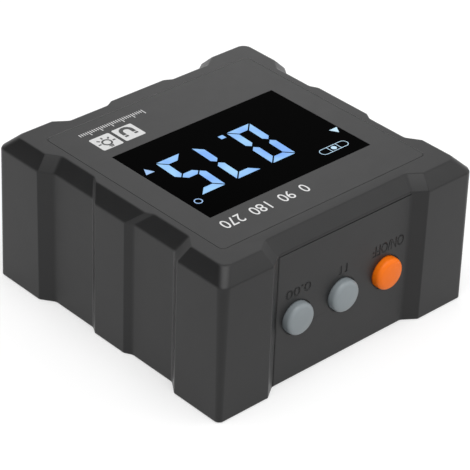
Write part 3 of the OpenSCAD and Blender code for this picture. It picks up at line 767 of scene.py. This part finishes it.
def on_button_side(mesh, centre, out):
    """Turn a flat mesh onto the button side, its z = 0 that far outside the wall, in millimetres."""
    place = Vector((centre[0], out, centre[1])) * MM + Vector((0, RECESS, 0))
    mesh.transform(Matrix.Translation(place) @ SIDE_TURN)
    return mesh


def button_relief(key):
    """A disc round a button's middle, from the floor of its relief to outside the wall."""
    middle = sum(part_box(f"{key}_button"), Vector()) / 2 / MM
    disc = flat_shape("relief", [circle((0, 0), RELIEF_R, RELIEF_SIDES)], RELIEF_DEPTH + CUT_PROUD)
    return on_button_side(disc, (middle.x, middle.z), -RELIEF_DEPTH)


def side_cutter():
    """Solids of all labels and reliefs, which reach from their floors to outside the wall."""
    depth = LABEL_DEPTH + CUT_PROUD
    meshes = []
    for word, place, size in LABELS:
        letters = lettering(word, size, depth, LABEL_BOLD)
        meshes.append(on_button_side(letters, place, (CUT_PROUD - LABEL_DEPTH) / 2))
    bars = [rectangle((s * HOLD_BARS_PITCH / 2, 0), HOLD_BAR) for s in (-1, 1)]
    meshes.append(on_button_side(flat_shape("hold_bars", bars, depth), HOLD_BARS_PLACE, -LABEL_DEPTH))
    meshes += [button_relief(key) for key in KEYS]
    bm = bmesh.new()
    for mesh in meshes:
        bm.from_mesh(mesh)
        bpy.data.meshes.remove(mesh)
    bmesh.ops.recalc_face_normals(bm, faces=bm.faces)
    cutter = new_object("side_cutter", mesh_from("side_cutter", bm))
    cutter.data.materials.append(MATERIALS["label"])
    return cutter


def paint_light_on_seam(shell):
    """The side walls of the panel's recess get a pale grey, painted light that takes the shade out of the
    narrow seam.
    """
    low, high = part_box("face_panel")
    reach = SEAM_W * MM
    shell.data.materials.append(MATERIALS["seam"])
    for face in shell.data.polygons:
        inside = all(low[i] - reach < face.center[i] < high[i] + reach for i in (0, 1))
        upright = abs(face.normal.z) < UPRIGHT
        if inside and upright and face.center.z > low.z:
            face.material_index = len(shell.data.materials) - 1


def housing_shell():
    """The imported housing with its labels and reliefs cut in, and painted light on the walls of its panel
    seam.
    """
    shell = merged_copy("housing", "housing_shell", "housing")
    shell.data.materials.append(MATERIALS["label"])
    cutter = side_cutter()
    cut = shell.modifiers.new("labels", "BOOLEAN")
    cut.operation = "DIFFERENCE"
    cut.solver = "EXACT"
    cut.object = cutter
    cut.material_mode = "TRANSFER"
    plain_mesh(shell)
    bpy.data.objects.remove(cutter)
    paint_light_on_seam(shell)
    even_normals(shell)
    add_piece(shell, "root", slot_of("housing"), "housing")


# Print on the panel

def magnet_sign():
    """Horseshoe magnet, open at the top, with its pole tips set apart."""
    x, y = MAGNET_BEND
    end_y = y + MAGNET_ARM
    lines = [[(x - r, end_y), *arc(MAGNET_BEND, r, 180, 360, MAGNET_BEND_STEPS), (x + r, end_y)]
             for r in MAGNET_R]
    tip_size = (MAGNET_R[0] - MAGNET_R[1], MAGNET_TIP)
    tip_y = end_y + MAGNET_TIP_GAP + MAGNET_TIP / 2
    tips = [rectangle((x + s * sum(MAGNET_R) / 2, tip_y), tip_size) for s in (-1, 1)]
    return flat_shape("magnet_sign", band(*lines) + tips, PRINT_T)


def lamp_sign():
    """Lamp bulb as a ring that hangs from a short base."""
    x, y = LAMP_BULB
    base = [rectangle((x, y + rise), (width, LAMP_BASE_T)) for rise, width in LAMP_BASE]
    return flat_shape("lamp_sign", ring(LAMP_BULB, *LAMP_R) + base, PRINT_T)


def panel_print():
    """Numbers, tiles with their signs, and a scale."""
    slot = "panel_print"
    numbers = lettering(NUMBERS, NUMBERS_SIZE, PRINT_T)
    add_on_face("quadrant_numbers", numbers, "white_print", slot, NUMBERS_PLACE, PRINT_T / 2)
    for name, place in (("magnet_tile", MAGNET_TILE), ("lamp_tile", LAMP_TILE)):
        tile = flat_shape(name, [round_rectangle(place, TILE_SIZE, TILE_R)], PRINT_T)
        add_on_face(name, tile, "tile_print", slot)
    add_on_face("magnet_sign", magnet_sign(), "dark_print", slot, lift=PRINT_T)
    add_on_face("lamp_sign", lamp_sign(), "dark_print", slot, lift=PRINT_T)
    rays = ray_fan_tree().run(
        "lamp_rays", bpy.data.meshes.new("lamp_rays"), Rays=LAMP_RAYS, First=math.pi,
        Step=math.pi / (LAMP_RAYS - 1), Radius=LAMP_RAY_START * MM, Ray_length=LAMP_RAY[0] * MM,
        Ray_width=LAMP_RAY[1] * MM, Depth=PRINT_T * MM, Material=MATERIALS["dark_print"])
    lay_on_face(rays.data, LAMP_BULB, PRINT_T)
    add_piece(rays, "root", slot)
    ticks = tick_row_tree().run(
        "scale_ticks", bpy.data.meshes.new("scale_ticks"), Ticks=SCALE_TICKS, Pitch=SCALE_PITCH * MM,
        Tick_width=SCALE_TICK[0] * MM, Tick_height=SCALE_TICK[1] * MM, Long_every=SCALE_LONG_EVERY,
        Long_share=SCALE_LONG_SHARE, Depth=PRINT_T * MM, Material=MATERIALS["white_print"])
    lay_on_face(ticks.data, SCALE_PLACE)
    add_piece(ticks, "root", slot)


# Reading on the display

def bar_points(name, places):
    """A mesh of points with the angle by which the bar at each is turned."""
    mesh = bpy.data.meshes.new(name)
    mesh.from_pydata([(x * MM, y * MM, 0.0) for x, y, turn in places], [], [])
    turns = mesh.attributes.new("turn", "FLOAT", "POINT")
    turns.data.foreach_set("value", [math.radians(turn) for x, y, turn in places])
    return mesh


def digit_bars():
    """The lit bars of all digits, made in four runs: level, two handed upright and middle bars."""
    edge = BAR_W / 2
    quarter = DIGIT_H / 4
    places = {
        "a": (DIGIT_W / 2, DIGIT_H - edge, 0),
        "b": (DIGIT_W - edge, 3 * quarter, 270),
        "c": (DIGIT_W - edge, quarter, 270),
        "d": (DIGIT_W / 2, edge, 180),
        "e": (edge, quarter, 90),
        "f": (edge, 3 * quarter, 90),
        "g": (DIGIT_W / 2, DIGIT_H / 2, 0),
    }
    runs = [
        ("digit_level_bars", "ad", DIGIT_W, False, False),
        ("digit_upright_bars_1", "fc", DIGIT_H / 2, True, False),
        ("digit_upright_bars_2", "be", DIGIT_H / 2, False, True),
        ("digit_middle_bars", "g", DIGIT_W - BAR_W, True, True),
    ]
    tree = display_bar_tree()
    for name, letters, length, left, right in runs:
        lit = [(places[letter][0] + i * DIGIT_PITCH, *places[letter][1:])
               for i, digit in enumerate(DIGITS_LIT) for letter in digit if letter in letters]
        bars = tree.run(
            name, bar_points(name, lit), Length=length * MM, Width=BAR_W * MM, Gap=BAR_GAP * MM,
            Depth=LIT_T * MM, Slant=DIGIT_SLANT, Left_pointed=left, Right_pointed=right,
            Material=MATERIALS["lit"])
        lay_on_face(bars.data, DIGIT_START)
        add_piece(bars, "root", "display_glass")


def level_vial():
    """Outlines of a vial with round ends, its bubble and the two marks beside it."""
    x, y = VIAL_PLACE
    inner = tuple(s - 2 * VIAL_LINE for s in VIAL_SIZE)
    lines = [round_rectangle(VIAL_PLACE, size, (size[1] - VIAL_END_FLAT) / 2)
             for size in (VIAL_SIZE, inner)]
    bubble = circle(VIAL_PLACE, BUBBLE_R, BUBBLE_SIDES)
    marks = [rectangle((x + s * VIAL_MARKS, y), (VIAL_LINE, inner[1])) for s in (-1, 1)]
    return [*band(*lines, closed=True), bubble, *marks]


def display_marks():
    """Decimal point in the light of the digits, and degree ring, trend triangles and a level vial."""
    slot = "display_glass"
    point = flat_shape("decimal_point", [rectangle(POINT_PLACE, POINT_SIZE)], LIT_T)
    add_on_face("decimal_point", point, "lit", slot)
    marks = ring(DEGREE_PLACE, *DEGREE_R)
    for (x, y), width, rise in TREND_MARKS:
        marks.append([(x - width / 2, y - rise / 2), (x + width / 2, y - rise / 2), (x, y + rise / 2)])
    marks += level_vial()
    add_on_face("display_marks", flat_shape("display_marks", marks, LIT_T), "lit_mark", slot)


# Stage

def seen_rays(tree):
    """Output that is 1 for what the camera, a reflection or glass sees, and 0 for other light."""
    paths = add_node(tree, "ShaderNodeLightPath")
    seen = paths.outputs["Is Camera Ray"]
    for kind in ("Is Glossy Ray", "Is Transmission Ray"):
        either = add_node(tree, "ShaderNodeMath", operation="MAXIMUM")
        tree.links.new(seen, either.inputs[0])
        tree.links.new(paths.outputs[kind], either.inputs[1])
        seen = either.outputs[0]
    return seen


def stage_sheet(name, size, place, shader):
    """A flat sheet of the stage, its width and height in metres."""
    bm = bmesh.new()
    # A square of width 1, given as its half
    bmesh.ops.create_grid(bm, x_segments=1, y_segments=1, size=0.5)
    bmesh.ops.scale(bm, vec=(*size, 1.0), verts=bm.verts)
    bmesh.ops.transform(bm, matrix=place, verts=bm.verts)
    obj = new_object(name, mesh_from(name, bm))
    obj.data.materials.append(shader.material)
    return obj


def floor():
    """Pale floor that keeps the object's shadow."""
    shader = Shader("floor_white", FLOOR_TONE, roughness=0.9, specular=0.1)
    level = shader.node("ShaderNodeMath", operation="MULTIPLY")
    level.inputs[1].default_value = FLOOR_LIFT
    shader.tree.links.new(seen_rays(shader.tree), level.inputs[0])
    shader.link(level, 0, shader.bsdf, "Emission Strength")
    shader.set("Emission Color", (1.0, 1.0, 1.0, 1.0))
    stage_sheet("floor", (FLOOR_W, FLOOR_W), Matrix.Identity(4), shader)


def studio_world():
    """Even white light from all round."""
    scene.world = bpy.data.worlds.new("studio")
    scene.world.use_nodes = True
    tree = scene.world.node_tree
    tree.nodes.clear()
    level = add_node(tree, "ShaderNodeMapRange")
    level.inputs["To Min"].default_value = WORLD_LIGHT
    level.inputs["To Max"].default_value = WORLD_SEEN
    light = add_node(tree, "ShaderNodeBackground")
    light.inputs["Color"].default_value = (1.0, 1.0, 1.0, 1.0)
    tree.links.new(seen_rays(tree), level.inputs["Value"])
    tree.links.new(level.outputs["Result"], light.inputs["Strength"])
    tree.links.new(light.outputs["Background"], add_node(tree, "ShaderNodeOutputWorld").inputs["Surface"])


def soft_box(name, direction, distance, size, watts):
    """Square lamp that faces the middle of the gauge."""
    lamp = bpy.data.lights.new(name, "AREA")
    lamp.shape = "SQUARE"
    lamp.size = size
    lamp.energy = watts
    obj = new_object(name, lamp)
    away = Vector(direction).normalized()
    obj.location = away * distance + Vector((0, 0, HEIGHT / 2))
    obj.rotation_mode = "QUATERNION"
    obj.rotation_quaternion = away.to_track_quat("Z", "Y")
    obj.visible_camera = False


def left_card():
    """Dark card that only reflections see, as a studio flag."""
    turn = Vector(CARD_FACING).to_track_quat("Z", "Y").to_matrix().to_4x4()
    shader = Shader("left_card", CARD_TONE, roughness=0.9, specular=0.0)
    obj = stage_sheet("left_card", CARD_SIZE, Matrix.Translation(CARD_PLACE) @ turn, shader)
    obj.visible_camera = False
    obj.visible_diffuse = False
    obj.visible_shadow = False
    obj.visible_transmission = False


def camera():
    data = bpy.data.cameras.new("camera")
    data.lens = CAMERA_LENS
    data.sensor_width = CAMERA_SENSOR
    data.clip_start = CAMERA_NEAR
    obj = new_object("camera", data)
    view = (CAMERA_AIM - CAMERA_PLACE).to_track_quat("-Z", "Y")
    obj.location = CAMERA_PLACE
    obj.rotation_mode = "QUATERNION"
    obj.rotation_quaternion = view @ Quaternion((0, 0, 1), CAMERA_ROLL)
    scene.camera = obj


housing_shell()
panel_print()
digit_bars()
display_marks()
for key, finish in KEYS.items():
    smooth_copy(f"{key}_button", f"{key}_cap", finish)
for finish, names in FINISHES.items():
    for name in names:
        finish_solid(name, finish)
floor()
studio_world()
for box in SOFT_BOXES:
    soft_box(*box)
left_card()
camera()
scene.view_settings.view_transform = "Standard"
